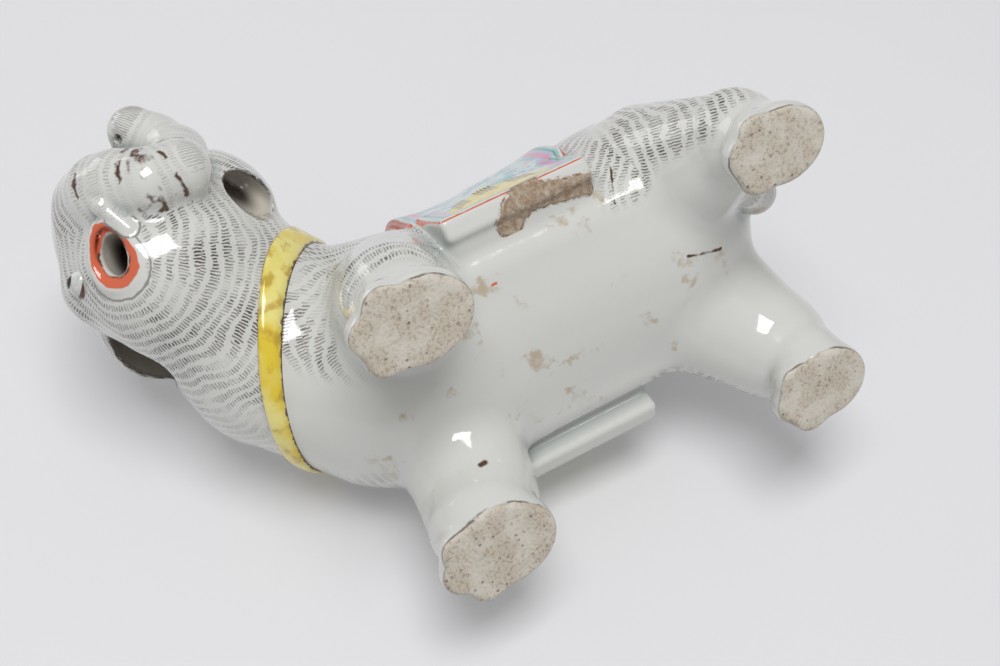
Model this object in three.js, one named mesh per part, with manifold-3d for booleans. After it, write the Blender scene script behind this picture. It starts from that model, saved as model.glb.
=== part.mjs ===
// A porcelain elephant standing on four feet, its head turned to its left and its trunk
// curled up beside the cheek. It is built as a potter builds it: two press-moulded halves
// for the hollow body and two for the hollow head, with legs, ears, trunk, tail, collar,
// saddle cloth and vase socket made separately and luted on.
// Millimetres, +Z up, the elephant facing -Y with its own left side towards +X.

import * as THREE from 'three';
import { ConvexGeometry } from 'three/addons/geometries/ConvexGeometry.js';
import { mergeVertices } from 'three/addons/utils/BufferGeometryUtils.js';
import Module from 'manifold-3d';

const wasm = await Module();
wasm.setup();

// ---------- driving dimensions ----------
const WALL = 4.5;               // thickness of the pressed clay walls
const GAP = 0.3;                // clearance between neighbouring pieces
const HEAD_YAW = 55;            // degrees the head turns to the elephant's left
const BIG = 400;                // side of the blocks that cut along a plane
const SIDES = { form: 20, hollow: 14, ear: 18, limb: 12, small: 10 };   // facets around

const BODY = {
  chest: { at: [-6, -36, 54], r: [30, 27, 31] },
  barrel: { at: [0, 2, 53], r: [28, 44, 28.5] },
  rump: { at: [0, 31, 52], r: [29, 28, 30] },
};
const SHOULDER = { at: [14, -36, 44], r: [19, 20, 23] };
const HAUNCH = { at: [14, 36, 44], r: [20, 20, 24] };
const NECK = { from: [-7, -46, 58], to: [6, -66, 66], rFrom: 29, rTo: 25 };

const HEAD_AT = [28, -76, 80];  // middle of the line between the two ear openings
const HEAD = {
  skull: { at: [0, 0, 1], r: [24.5, 33, 28] },
  jaw: { at: [-1, 8, -15], r: [18, 21, 16] },
  brow: { at: [0, 19, 11], r: [17, 15, 18] },
};
const MOUTH = { lip: [-1, 31, -22], throat: [0, 8, -8], r: 4.6 };

const COLLAR = { at: [3, -62, 60], normal: [0.1, -0.81, 0.58], width: 5.4, thick: 1.6 };

const FRONT_LEG = { foot: [32, -44.5], knee: [29.5, -42, 20], hip: [16, -37, 42] };
const REAR_LEG = { foot: [33, 47.5], knee: [29, 46, 20], hip: [15, 36, 43] };
const LEG_R = { ankle: 11.2, knee: 12, hip: 17 };
const FRONT_PAD = [11.2, 13.6, 9];
const REAR_PAD = [9.8, 11.6, 8];
const PAD_HEIGHT = 3;           // height of the pad's middle above the sole
const TOE_R = 4.8;

const EAR = { at: [23, -0.5, 8], r: [7.5, 12, 17], cup: [24.4, -0.5, -3], cupR: [4.8, 8.8, 13.2] };
const TRUNK = [
  { at: [0, 22, 12], r: 13 },
  { at: [2, 28, 4], r: 10.5 },
  { at: [7, 31, -3], r: 9 },
  { at: [11, 31, -8], r: 8 },
  { at: [16, 27.5, -13], r: 7.3 },
  { at: [21.3, 22, -11.5], r: 7 },
  { at: [23.2, 20.5, -1], r: 6.6 },
  { at: [22.5, 24, 8], r: 6.3 },
  { at: [21.2, 29, 12.5], r: 6.8 },
];
const NOSTRIL = { r: 1.6, depth: 5 };
const EYE_LEFT = { at: [15.5, 22, 10], r: [2.6, 4.2, 3.4] };
const EYE_RIGHT = { at: [-13.6, 25.2, -9], r: [3.8, 3.8, 3] };

const TAIL = [
  { at: [0, 55, 66], r: 5.2 },
  { at: [1, 58, 52], r: 4.8 },
  { at: [4, 57, 38], r: 4.4 },
  { at: [9, 53, 28], r: 5 },
  { at: [13, 49, 24], r: 4.4 },
];

const FLAP = { topZ: 50, bottomZ: 28.6, length: 39, midY: -6, thick: 6, corner: 4 };
const FLAP_OUT = {              // distance out from the middle at the top and bottom edges
  left: { top: 26.8, bottom: 34.3 },
  right: { top: 27.6, bottom: 35.7 },
};
const CLOTH = { thick: 2.6, length: 43, midY: -6, hem: 51.4 };
const SOCKET = { midY: -6, outerR: 11, boreR: 8, top: 88.3, depth: 8 };

// ---------- materials ----------
function ceramic(color, roughness) {
  return new THREE.MeshStandardMaterial({ color, roughness, metalness: 0 });
}
const glaze = ceramic(0xe3e5e3, 0.15);
const yellowEnamel = ceramic(0xd8b83a, 0.2);
const clothEnamel = ceramic(0x8fc9b8, 0.2);
const darkEnamel = ceramic(0x1c1917, 0.2);

// ---------- solids ----------
function solidOf(geometry) {
  const bare = geometry.clone();
  bare.deleteAttribute('normal');
  bare.deleteAttribute('uv');
  const merged = mergeVertices(bare, 1e-4);
  const mesh = new wasm.Mesh({
    numProp: 3,
    vertProperties: new Float32Array(merged.attributes.position.array),
    triVerts: new Uint32Array(merged.index.array),
  });
  return new wasm.Manifold(mesh);
}

function largestPiece(solid) {
  const pieces = solid.decompose();
  return pieces.reduce((best, piece) => (piece.volume() > best.volume() ? piece : best));
}

function union(solids) {
  return solids.reduce((sum, solid) => sum.add(solid));
}

function placedMatrix(at, yawDegrees = 0) {
  const turn = new THREE.Matrix4().makeRotationZ(THREE.MathUtils.degToRad(yawDegrees));
  return turn.setPosition(...at);
}

// An ellipsoid with its radii along X, Y and Z, turned about Z.
function ellipsoid(at, radii, grow = 0, yaw = 0, around = SIDES.form) {
  const ball = new THREE.SphereGeometry(1, around, Math.round(around * 0.6));
  ball.scale(radii[0] + grow, radii[1] + grow, radii[2] + grow);
  ball.applyMatrix4(placedMatrix(at, yaw));
  return solidOf(ball);
}

// A tapered rod between two points.
function taper(from, to, rFrom, rTo, around) {
  const a = new THREE.Vector3(...from);
  const b = new THREE.Vector3(...to);
  const axis = b.clone().sub(a);
  const rod = new THREE.CylinderGeometry(rTo, rFrom, axis.length(), around);
  const turn = new THREE.Quaternion().setFromUnitVectors(
    new THREE.Vector3(0, 1, 0), axis.clone().normalize());
  rod.applyQuaternion(turn);
  rod.translate(...a.add(b).multiplyScalar(0.5).toArray());
  return solidOf(rod);
}

function ballPoints(at, r, around) {
  const ball = new THREE.SphereGeometry(r, around, Math.round(around / 2));
  ball.translate(...at);
  const { position } = ball.attributes;
  return Array.from({ length: position.count }, (_, i) => (
    new THREE.Vector3().fromBufferAttribute(position, i)));
}

// A chain of round stations, each pair of neighbours wrapped in one taut skin.
function limb(stations, grow = 0, around = SIDES.limb) {
  const links = [];
  for (let i = 0; i + 1 < stations.length; i += 1) {
    const ends = [stations[i], stations[i + 1]];
    const points = ends.flatMap(({ at, r }) => ballPoints(at, r + grow, around));
    links.push(solidOf(new ConvexGeometry(points)));
  }
  return union(links);
}

// A block that fills everything on the side of a plane that its normal points to.
function halfSpace(at, normal) {
  const n = new THREE.Vector3(...normal).normalize();
  const block = new THREE.BoxGeometry(BIG, BIG, BIG);
  block.translate(0, 0, BIG / 2);
  block.applyQuaternion(new THREE.Quaternion().setFromUnitVectors(new THREE.Vector3(0, 0, 1), n));
  block.translate(...at);
  return solidOf(block);
}

function meshOf(name, solid, material) {
  const mesh = largestPiece(solid).getMesh();
  const geometry = new THREE.BufferGeometry();
  geometry.setAttribute('position', new THREE.BufferAttribute(mesh.vertProperties, 3));
  geometry.setIndex(new THREE.BufferAttribute(mesh.triVerts, 1));
  const part = new THREE.Mesh(geometry, material);
  part.name = name;
  return part;
}

// ---------- the head's own frame: x to its left, y forward, z up ----------
const yawTurn = THREE.MathUtils.degToRad(HEAD_YAW);
const headLeft = new THREE.Vector3(Math.cos(yawTurn), Math.sin(yawTurn), 0);
const headForward = new THREE.Vector3(Math.sin(yawTurn), -Math.cos(yawTurn), 0);

function onHead([left, forward, up]) {
  return new THREE.Vector3(...HEAD_AT)
    .addScaledVector(headLeft, left)
    .addScaledVector(headForward, forward)
    .add(new THREE.Vector3(0, 0, up))
    .toArray();
}

function headBall({ at, r }, grow = 0, around = SIDES.form) {
  return ellipsoid(onHead(at), r, grow, HEAD_YAW, around);
}

function mirrored(point, side) {
  return [point[0] * side, point[1], point[2]];
}

// ---------- outer form of the body and head, grown or shrunk by a set amount ----------
function neckForm(grow, around) {
  return limb([
    { at: NECK.from, r: NECK.rFrom },
    { at: NECK.to, r: NECK.rTo },
  ], grow, around);
}

function bodyForm(grow) {
  const parts = [neckForm(grow, SIDES.form)];
  for (const { at, r } of Object.values(BODY)) {
    parts.push(ellipsoid(at, r, grow));
  }
  for (const side of [1, -1]) {
    for (const { at, r } of [SHOULDER, HAUNCH]) {
      parts.push(ellipsoid(mirrored(at, side), r, grow));
    }
  }
  return union(parts);
}

function headForm(grow) {
  return union(Object.values(HEAD).map((lump) => headBall(lump, grow)));
}

// The hollow follows the barrel, the neck and the skull only, and runs out at the mouth.
function hollowForm() {
  const lumps = Object.values(BODY).map(({ at, r }) => ellipsoid(at, r, -WALL, 0, SIDES.hollow));
  return union([
    ...lumps,
    neckForm(-WALL, SIDES.hollow),
    headBall(HEAD.skull, -WALL, SIDES.hollow),
    limb([
      { at: onHead(MOUTH.lip), r: MOUTH.r },
      { at: onHead(MOUTH.throat), r: MOUTH.r },
    ], 0, SIDES.small),
  ]);
}

const collarNormal = new THREE.Vector3(...COLLAR.normal).normalize();
function collarPoint(offset) {
  return new THREE.Vector3(...COLLAR.at).addScaledVector(collarNormal, offset).toArray();
}
const aheadOfCollar = halfSpace(collarPoint(GAP / 2), COLLAR.normal);
const behindCollar = halfSpace(collarPoint(-GAP / 2), COLLAR.normal.map((c) => -c));

const skin = bodyForm(0).add(headForm(0));
const skinClear = bodyForm(GAP).add(headForm(GAP));
const hollow = hollowForm();
const aboveFloor = halfSpace([0, 0, 0], [0, 0, 1]);

// ---------- body and head halves ----------
function torsoHalves() {
  const shell = bodyForm(0).intersect(behindCollar).subtract(hollow);
  return [['torso_left_half', 1], ['torso_right_half', -1]].map(([name, side]) => {
    const half = shell.intersect(halfSpace([side * GAP / 2, 0, 0], [side, 0, 0]));
    return meshOf(name, half, glaze);
  });
}

function headHalves() {
  const shell = skin.intersect(aheadOfCollar).subtract(hollow);
  return [['head_left_half', 1], ['head_right_half', -1]].map(([name, side]) => {
    const normal = headLeft.clone().multiplyScalar(side).toArray();
    const half = shell.intersect(halfSpace(onHead([side * GAP / 2, 0, 0]), normal));
    return meshOf(name, half, glaze);
  });
}

// ---------- legs, with three toe lobes at the front of each sole ----------
function legForm(spec, pad, side, grow = 0) {
  const [footX, footY] = spec.foot;
  const ankle = [side * (spec.knee[0] * 0.7 + footX * 0.3), footY, LEG_R.ankle];
  const column = limb([
    { at: ankle, r: LEG_R.ankle },
    { at: mirrored(spec.knee, side), r: LEG_R.knee },
    { at: mirrored(spec.hip, side), r: LEG_R.hip },
  ], grow);
  const parts = [column, ellipsoid([side * footX, footY, PAD_HEIGHT], pad, grow)];
  for (const turn of [-48, 0, 48]) {
    const angle = THREE.MathUtils.degToRad(turn);
    const toe = [
      side * footX + Math.sin(angle) * (pad[0] - TOE_R * 0.6),
      footY - Math.cos(angle) * (pad[1] - TOE_R * 0.6),
      TOE_R * 0.6,
    ];
    parts.push(ellipsoid(toe, [TOE_R, TOE_R, TOE_R], grow, 0, SIDES.small));
  }
  return union(parts);
}

function leg(name, spec, pad, side) {
  const solid = legForm(spec, pad, side).intersect(aboveFloor).subtract(skinClear);
  return meshOf(name, solid, glaze);
}

// ---------- head trimmings ----------
function ear(name, side) {
  const outer = headBall({ at: mirrored(EAR.at, side), r: EAR.r }, 0, SIDES.ear);
  const cup = headBall({ at: mirrored(EAR.cup, side), r: EAR.cupR }, 0, SIDES.hollow);
  const solid = outer.subtract(cup).subtract(skinClear);
  return meshOf(name, solid, glaze);
}

const trunkStations = TRUNK.map(({ at, r }) => ({ at: onHead(at), r }));

function trunk() {
  const tip = trunkStations.at(-1);
  const before = trunkStations.at(-2);
  const tipPoint = new THREE.Vector3(...tip.at);
  const outward = tipPoint.clone().sub(new THREE.Vector3(...before.at)).normalize();
  const nostril = taper(
    tipPoint.clone().addScaledVector(outward, tip.r - NOSTRIL.depth).toArray(),
    tipPoint.clone().addScaledVector(outward, tip.r + NOSTRIL.depth).toArray(),
    NOSTRIL.r, NOSTRIL.r, SIDES.small);
  const earClear = ellipsoid(onHead(EAR.at), EAR.r, GAP, HEAD_YAW, SIDES.ear);
  const form = limb(trunkStations, 0, SIDES.hollow);
  const solid = form.subtract(nostril).subtract(skinClear).subtract(earClear);
  return meshOf('trunk', solid, glaze);
}

function eye(name, place) {
  const bead = headBall(place, 0, SIDES.limb);
  const trunkClear = limb(trunkStations, GAP, SIDES.hollow);
  return meshOf(name, bead.subtract(skinClear).subtract(trunkClear), darkEnamel);
}

function tail() {
  const legClear = legForm(REAR_LEG, REAR_PAD, 1, GAP);
  const solid = limb(TAIL, 0, SIDES.small).subtract(skinClear).subtract(legClear);
  return meshOf('tail', solid, glaze);
}

// ---------- collar band over the seam between neck and head ----------
function collar() {
  const half = COLLAR.width / 2;
  const slab = halfSpace(collarPoint(-half), COLLAR.normal)
    .intersect(halfSpace(collarPoint(half), COLLAR.normal.map((c) => -c)));
  const band = bodyForm(COLLAR.thick).add(headForm(COLLAR.thick)).intersect(slab);
  return meshOf('collar_band', band.subtract(skinClear), yellowEnamel);
}

// ---------- saddle cloth: one piece over the back and a thick slab flap each side ----------
function flap(name, out, side) {
  const drop = new THREE.Vector3(side * (out.bottom - out.top), 0, FLAP.bottomZ - FLAP.topZ);
  const height = drop.length();
  const w = FLAP.length / 2;
  const outline = new THREE.Shape();
  outline.moveTo(-w, 0);
  outline.lineTo(w, 0);
  outline.lineTo(w, height - FLAP.corner);
  outline.absarc(w - FLAP.corner, height - FLAP.corner, FLAP.corner, 0, Math.PI / 2, false);
  outline.lineTo(-w + FLAP.corner, height);
  outline.absarc(-w + FLAP.corner, height - FLAP.corner, FLAP.corner, Math.PI / 2, Math.PI, false);
  outline.lineTo(-w, 0);
  const slab = new THREE.ExtrudeGeometry(outline, {
    depth: FLAP.thick, bevelEnabled: false, curveSegments: 6,
  });
  slab.translate(0, 0, -FLAP.thick / 2);
  const along = new THREE.Vector3(0, side, 0);
  const down = drop.clone().normalize();
  const across = new THREE.Vector3().crossVectors(along, down);
  const place = new THREE.Matrix4().makeBasis(along, down, across);
  place.setPosition(side * out.top, FLAP.midY, FLAP.topZ);
  slab.applyMatrix4(place);
  return meshOf(name, solidOf(slab).subtract(skinClear), clothEnamel);
}

function saddleCloth() {
  const block = new THREE.BoxGeometry(BIG, CLOTH.length, BIG);
  block.translate(0, CLOTH.midY, CLOTH.hem + BIG / 2);
  const cloth = bodyForm(CLOTH.thick).intersect(solidOf(block)).subtract(skinClear);
  const socketClear = taper([0, SOCKET.midY, 0], [0, SOCKET.midY, BIG],
    SOCKET.outerR + GAP, SOCKET.outerR + GAP, SIDES.form);
  return meshOf('saddle_cloth', cloth.subtract(socketClear), clothEnamel);
}

function vaseSocket() {
  const profile = [
    new THREE.Vector2(0, SOCKET.top - SOCKET.depth),
    new THREE.Vector2(SOCKET.boreR, SOCKET.top - SOCKET.depth),
    new THREE.Vector2(SOCKET.boreR, SOCKET.top),
    new THREE.Vector2(SOCKET.outerR, SOCKET.top),
    new THREE.Vector2(SOCKET.outerR, BODY.barrel.at[2]),
    new THREE.Vector2(0, BODY.barrel.at[2]),
  ].reverse();
  const ring = new THREE.LatheGeometry(profile, SIDES.form);
  ring.rotateX(Math.PI / 2);
  ring.translate(0, SOCKET.midY, 0);
  return meshOf('vase_socket', solidOf(ring).subtract(skinClear), glaze);
}

// ---------- assembly, with the origin under the middle of the whole figure ----------
const pieces = new THREE.Group();
pieces.add(
  ...torsoHalves(),
  ...headHalves(),
  ear('ear_left', 1),
  ear('ear_right', -1),
  eye('eye_left', EYE_LEFT),
  eye('eye_right', EYE_RIGHT),
  trunk(),
  collar(),
  leg('front_leg_left', FRONT_LEG, FRONT_PAD, 1),
  leg('front_leg_right', FRONT_LEG, FRONT_PAD, -1),
  leg('rear_leg_left', REAR_LEG, REAR_PAD, 1),
  leg('rear_leg_right', REAR_LEG, REAR_PAD, -1),
  tail(),
  saddleCloth(),
  flap('saddle_flap_left', FLAP_OUT.left, 1),
  flap('saddle_flap_right', FLAP_OUT.right, -1),
  vaseSocket(),
);
const middle = new THREE.Box3().setFromObject(pieces).getCenter(new THREE.Vector3());
pieces.position.set(-middle.x, -middle.y, 0);

const elephant = new THREE.Group();
elephant.add(pieces);

export default elephant;
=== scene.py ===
"""A famille rose porcelain elephant, seen lying on its right side with its soles showing.

The glazed body is one continuous form in life, so its shape is worked out once as a signed
distance (millimetres, in the figure's own coordinates: body middle at x = 0, head towards -y,
soles at z = 0), turned into a fine surface, and then parted at the luting seams into the pieces
that the potter made. Every painted line and hair is a procedural material that reads smooth
coordinates stored on those pieces.
"""
import math
from collections import namedtuple

import bmesh
import bpy
import numpy as np
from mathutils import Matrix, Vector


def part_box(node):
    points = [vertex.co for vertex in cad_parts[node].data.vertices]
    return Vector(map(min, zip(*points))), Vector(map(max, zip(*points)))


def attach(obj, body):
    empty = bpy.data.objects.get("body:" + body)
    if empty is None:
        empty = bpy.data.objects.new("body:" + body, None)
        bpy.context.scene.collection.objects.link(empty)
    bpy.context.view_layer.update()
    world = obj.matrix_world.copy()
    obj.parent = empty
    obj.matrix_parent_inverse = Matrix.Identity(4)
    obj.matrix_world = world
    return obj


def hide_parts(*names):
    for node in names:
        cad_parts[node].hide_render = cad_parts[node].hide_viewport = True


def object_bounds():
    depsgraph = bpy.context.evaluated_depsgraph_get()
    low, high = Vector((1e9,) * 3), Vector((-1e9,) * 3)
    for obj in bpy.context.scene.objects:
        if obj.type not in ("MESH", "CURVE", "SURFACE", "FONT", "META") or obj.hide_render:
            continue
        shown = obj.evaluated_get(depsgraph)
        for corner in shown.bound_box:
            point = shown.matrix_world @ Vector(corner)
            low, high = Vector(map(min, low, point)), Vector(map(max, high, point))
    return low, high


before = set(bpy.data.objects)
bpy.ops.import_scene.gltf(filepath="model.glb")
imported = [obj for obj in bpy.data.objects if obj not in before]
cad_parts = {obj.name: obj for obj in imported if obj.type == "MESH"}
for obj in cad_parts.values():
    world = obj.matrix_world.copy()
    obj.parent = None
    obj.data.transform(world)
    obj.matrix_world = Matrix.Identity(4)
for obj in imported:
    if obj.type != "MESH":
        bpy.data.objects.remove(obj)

import openvdb
from mathutils import Matrix, Vector

CAD_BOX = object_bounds()

MM = 0.001                      # metres in a millimetre
GRID_STEP = 0.85                # spacing of the sampled distances, mm
FAR = 50.0                      # distance written where no form comes near, mm

# ---------- where the figure stands in the frame ----------
SADDLE_MID_Y = -6.0             # middle of the saddle flaps in the figure's own coordinates, mm
socket_low, socket_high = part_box("vase_socket")
FIGURE_ORIGIN = np.array([
    (socket_low[0] + socket_high[0]) / 2,
    (socket_low[1] + socket_high[1]) / 2 - SADDLE_MID_Y * MM,
    0.0,
])


def to_frame(points_mm):
    """Figure coordinates in millimetres to frame coordinates in metres."""
    return np.asarray(points_mm) * MM + FIGURE_ORIGIN


# ---------- the head's own axes: left, forward, up ----------
HEAD_YAW = math.radians(55)
HEAD_LEFT = np.array([math.cos(HEAD_YAW), math.sin(HEAD_YAW), 0.0])
HEAD_FORWARD = np.array([math.sin(HEAD_YAW), -math.cos(HEAD_YAW), 0.0])
HEAD_UP = np.array([0.0, 0.0, 1.0])
HEAD_AT = np.array([28.0, -76.0, 80.0])
HEAD_AXES = np.stack([HEAD_LEFT, HEAD_FORWARD, HEAD_UP], axis=1)


def on_head(left, forward, up):
    return HEAD_AT + HEAD_AXES @ np.array([left, forward, up], dtype=float)


def unit(vector):
    vector = np.asarray(vector, dtype=float)
    return vector / np.linalg.norm(vector)


# ---------- signed distances ----------
Shape = namedtuple("Shape", "distance low high")
DROP_SHAPE = 0.28               # how much wider a drop is at its round end than in its middle


def smooth_min(a, b, blend):
    mix = np.clip(0.5 + 0.5 * (b - a) / blend, 0, 1)
    return b + (a - b) * mix - blend * mix * (1 - mix)


def smooth_max(a, b, blend):
    return -smooth_min(-a, -b, blend)


def ellipsoid(at, radii, axes=None):
    at = np.asarray(at, dtype=float)
    radii = np.asarray(radii, dtype=float)
    reach = radii.max() if axes is not None else radii

    def distance(p):
        q = p - at
        if axes is not None:
            q = q @ axes
        scaled = np.linalg.norm(q / radii, axis=-1)
        slope = np.linalg.norm(q / radii ** 2, axis=-1)
        return scaled * (scaled - 1) / np.maximum(slope, 1e-6)
    return Shape(distance, at - reach, at + reach)


def head_lump(at, radii):
    return ellipsoid(on_head(*at), radii, HEAD_AXES)


def rod(start, end, r_start, r_end):
    start = np.asarray(start, dtype=float)
    end = np.asarray(end, dtype=float)
    axis = end - start
    reach = max(r_start, r_end)

    def distance(p):
        along = np.clip((p - start) @ axis / (axis @ axis), 0, 1)
        nearest = start + along[..., None] * axis
        return np.linalg.norm(p - nearest, axis=-1) - (r_start + (r_end - r_start) * along)
    return Shape(distance, np.minimum(start, end) - reach, np.maximum(start, end) + reach)


def chain(stations):
    return [rod(a, b, ra, rb) for (a, ra), (b, rb) in zip(stations, stations[1:])]


def slab(at, axes, half_sizes, rounding):
    at = np.asarray(at, dtype=float)
    half = np.asarray(half_sizes, dtype=float) - rounding
    reach = np.abs(axes) @ (half + rounding)

    def distance(p):
        q = np.abs((p - at) @ axes) - half
        outside = np.linalg.norm(np.maximum(q, 0), axis=-1)
        return outside + np.minimum(q.max(axis=-1), 0) - rounding
    return Shape(distance, at - reach, at + reach)


def oval_ring(at, axes, half_long, half_wide, thick):
    """A rounded rim along a drop-shaped oval, lying in the plane of the first two axes."""
    at = np.asarray(at, dtype=float)

    def distance(p):
        q = (p - at) @ axes
        q[..., 1] /= 1 + DROP_SHAPE * np.clip(q[..., 0] / half_long, -1, 1)
        scaled = np.hypot(q[..., 0] / half_long, q[..., 1] / half_wide)
        slope = np.hypot(q[..., 0] / half_long ** 2, q[..., 1] / half_wide ** 2)
        flat = scaled * (scaled - 1) / np.maximum(slope, 1e-6)
        return np.hypot(flat, q[..., 2]) - thick
    reach = half_long + thick
    return Shape(distance, at - reach, at + reach)


def joined(shapes, blend, p):
    total = shapes[0].distance(p)
    for shape in shapes[1:]:
        total = smooth_min(total, shape.distance(p), blend)
    return total


# ---------- the figure's forms ----------
Form = namedtuple("Form", "shapes inner_blend skin_blend")

# side of the body; foot, knee and hip; radii of the pad, then of ankle, knee and hip; toe turn
Leg = namedtuple("Leg", "side foot knee hip pad radii toe_out")
LEGS = {
    "front_leg_left": Leg(1, (32, -44.5), (29.5, -43, 20), (15, -37, 42),
                          (10.6, 13.0, 9), (11.4, 12, 18), 12),
    "front_leg_right": Leg(-1, (32, -43.2), (29.5, -40, 20), (17, -36, 42),
                           (11.0, 13.6, 9), (13.4, 14, 19), 12),
    "rear_leg_left": Leg(1, (32.5, 48), (29, 47, 20), (15.5, 36, 43),
                         (9.4, 11.2, 8), (10.2, 11.5, 20), 8),
    "rear_leg_right": Leg(-1, (33.4, 46.8), (29, 45, 20), (16, 34, 41),
                          (9.6, 11.4, 8), (10.4, 13.5, 21), 8),
}
TOES = ((-46, 4.6), (0, 5.0), (46, 4.6))        # turn from straight ahead, and size


def leg_form(leg):
    ankle_r, knee_r, hip_r = leg.radii
    mirror = np.array([leg.side, 1.0, 1.0])
    foot_at = np.array([*leg.foot, 0.0]) * mirror
    knee_at, hip_at = np.array(leg.knee) * mirror, np.array(leg.hip) * mirror
    ankle = np.array([knee_at[0] * 0.7 + foot_at[0] * 0.3, foot_at[1], 10.0])
    shapes = [rod(ankle, knee_at, ankle_r, knee_r), rod(knee_at, hip_at, knee_r, hip_r)]
    shapes.append(ellipsoid(foot_at + [0, 1.0, 3.0], leg.pad))
    for turn, size in TOES:
        angle = math.radians(turn + leg.toe_out * leg.side)
        forward = np.array([math.sin(angle), -math.cos(angle), 0.0])
        toe_at = foot_at + forward * (np.array(leg.pad) - size * 0.5) + [0, 0, 2.0]
        shapes.append(ellipsoid(toe_at, (size, size, size * 1.2)))
    return Form(shapes, 2.6, 3.4)


MOUTH_NORMAL = unit(HEAD_AXES @ np.array([0.0, 0.62, -0.78]))
MOUTH_LONG = unit(HEAD_AXES @ np.array([-0.5, -0.68, -0.54]))
MOUTH_WIDE = np.cross(MOUTH_NORMAL, MOUTH_LONG)
MOUTH_AXES = np.stack([MOUTH_LONG, MOUTH_WIDE, MOUTH_NORMAL], axis=1)
MOUTH_AT = on_head(-2.0, 27.0, -19.0)
MOUTH_HALF = (7.0, 4.7)         # half length and half width of the red ring, mm

TRUNK_PATH = [
    (on_head(0, 22, 12), 13), (on_head(2, 28, 4), 10.5), (on_head(7, 31, -3), 9),
    (on_head(11, 31, -8), 8.0), (on_head(16, 27.5, -13), 7.3), (on_head(21.3, 22, -11.5), 7.0),
    (on_head(23.2, 20.5, -1), 6.6), (on_head(22.5, 24, 7), 6.1), (on_head(21.2, 29, 10.5), 6.3),
]
TAIL_PATH = [
    ((0, 55, 66), 5.2), ((1, 58, 52), 4.8), ((4, 57, 38), 4.4), ((9, 53, 28), 5.0), ((13, 49, 24), 4.4),
]
TRUNK_TIP = np.array(TRUNK_PATH[-1][0])
NOSTRIL_AXIS = unit([0.19, -0.75, -0.63])
NOSTRIL_R = 1.1
EAR_SIZE = (7.5, 12.0, 17.0)
EAR_AT = {1: (21.8, 1, 8), -1: (-23.5, -1, 8)}      # on the head: left, forward, up
EAR_CUP = {1: (4.2, 7.4, 12.0), -1: (6.4, 10.6, 15.2)}
EAR_CUP_AT = {1: (2.0, 0.0, -11.0), -1: (1.6, 0.6, -11.0)}   # from the middle of the ear
FLAP_TOP = {1: (26.8, 50.0), -1: (28.4, 50.0)}      # distance out and height of the top edge, mm
FLAP_BOTTOM = {1: (34.3, 28.6), -1: (37.0, 27.9)}
# clay in the angle behind each flap: distance out, height, radius and blend
FLAP_FILL = {1: (28.4, 32.6, 3.2, 3.0), -1: (29.4, 35.2, 3.8, 2.0)}
FLAP_LENGTH = 39.0
FLAP_THICK = 6.0
FLAP_ROUNDING = 1.5
CLOTH_THICK = 2.4
CLOTH_LENGTH = 43.0
SOCKET_R = 11.0
SOCKET_BORE = 8.0
SOCKET_TOP = 88.3


def flap_axes(side):
    top, bottom = FLAP_TOP[side], FLAP_BOTTOM[side]
    down = unit([side * (bottom[0] - top[0]), 0, bottom[1] - top[1]])
    along = np.array([0.0, 1.0, 0.0])
    return np.stack([along, down, np.cross(along, down) * -side], axis=1)


def flap_form(side):
    top = np.array([side * FLAP_TOP[side][0], SADDLE_MID_Y, FLAP_TOP[side][1]])
    bottom = np.array([side * FLAP_BOTTOM[side][0], SADDLE_MID_Y, FLAP_BOTTOM[side][1]])
    height = np.linalg.norm(bottom - top)
    half_sizes = (FLAP_LENGTH / 2, height / 2, FLAP_THICK / 2)
    fill_x, fill_z, fill_r, blend = FLAP_FILL[side]
    reach = FLAP_LENGTH / 2 - 3
    ends = [(side * fill_x, SADDLE_MID_Y + end * reach, fill_z) for end in (-1, 1)]
    plate = slab((top + bottom) / 2, flap_axes(side), half_sizes, FLAP_ROUNDING)
    return Form([plate, rod(*ends, fill_r, fill_r)], blend, blend)


def cloth_form(under):
    """A layer of clay over the back, down to the tops of the flaps."""
    def distance(p):
        layer = joined(under.shapes, under.inner_blend, p) - CLOTH_THICK
        ends = np.abs(p[..., 1] - SADDLE_MID_Y) - CLOTH_LENGTH / 2
        return smooth_max(smooth_max(layer, ends, 1.4), FLAP_TOP[1][1] - 1.0 - p[..., 2], 1.0)
    half = np.array([36.0, CLOTH_LENGTH / 2, 25.0])
    middle = np.array([0.0, SADDLE_MID_Y, FLAP_TOP[1][1] + 20.0])
    return Form([Shape(distance, middle - half, middle + half)], 1.0, 1.2)


def socket_form():
    """The low ring in the saddle that takes the foot of a small vase."""
    def distance(p):
        out = np.hypot(p[..., 0], p[..., 1] - SADDLE_MID_Y)
        return smooth_max(out - SOCKET_R, np.abs(p[..., 2] - SOCKET_TOP + 8) - 8, 1.6)
    half = np.array([SOCKET_R, SOCKET_R, 8.0])
    middle = np.array([0.0, SADDLE_MID_Y, SOCKET_TOP - 8])
    return Form([Shape(distance, middle - half, middle + half)], 1.0, 1.0)


def ear_form(side):
    return Form([head_lump(EAR_AT[side], EAR_SIZE)], 1.0, 2.5)


def ear_cup(side):
    return head_lump(np.array(EAR_AT[side]) + EAR_CUP_AT[side], EAR_CUP[side])


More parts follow.
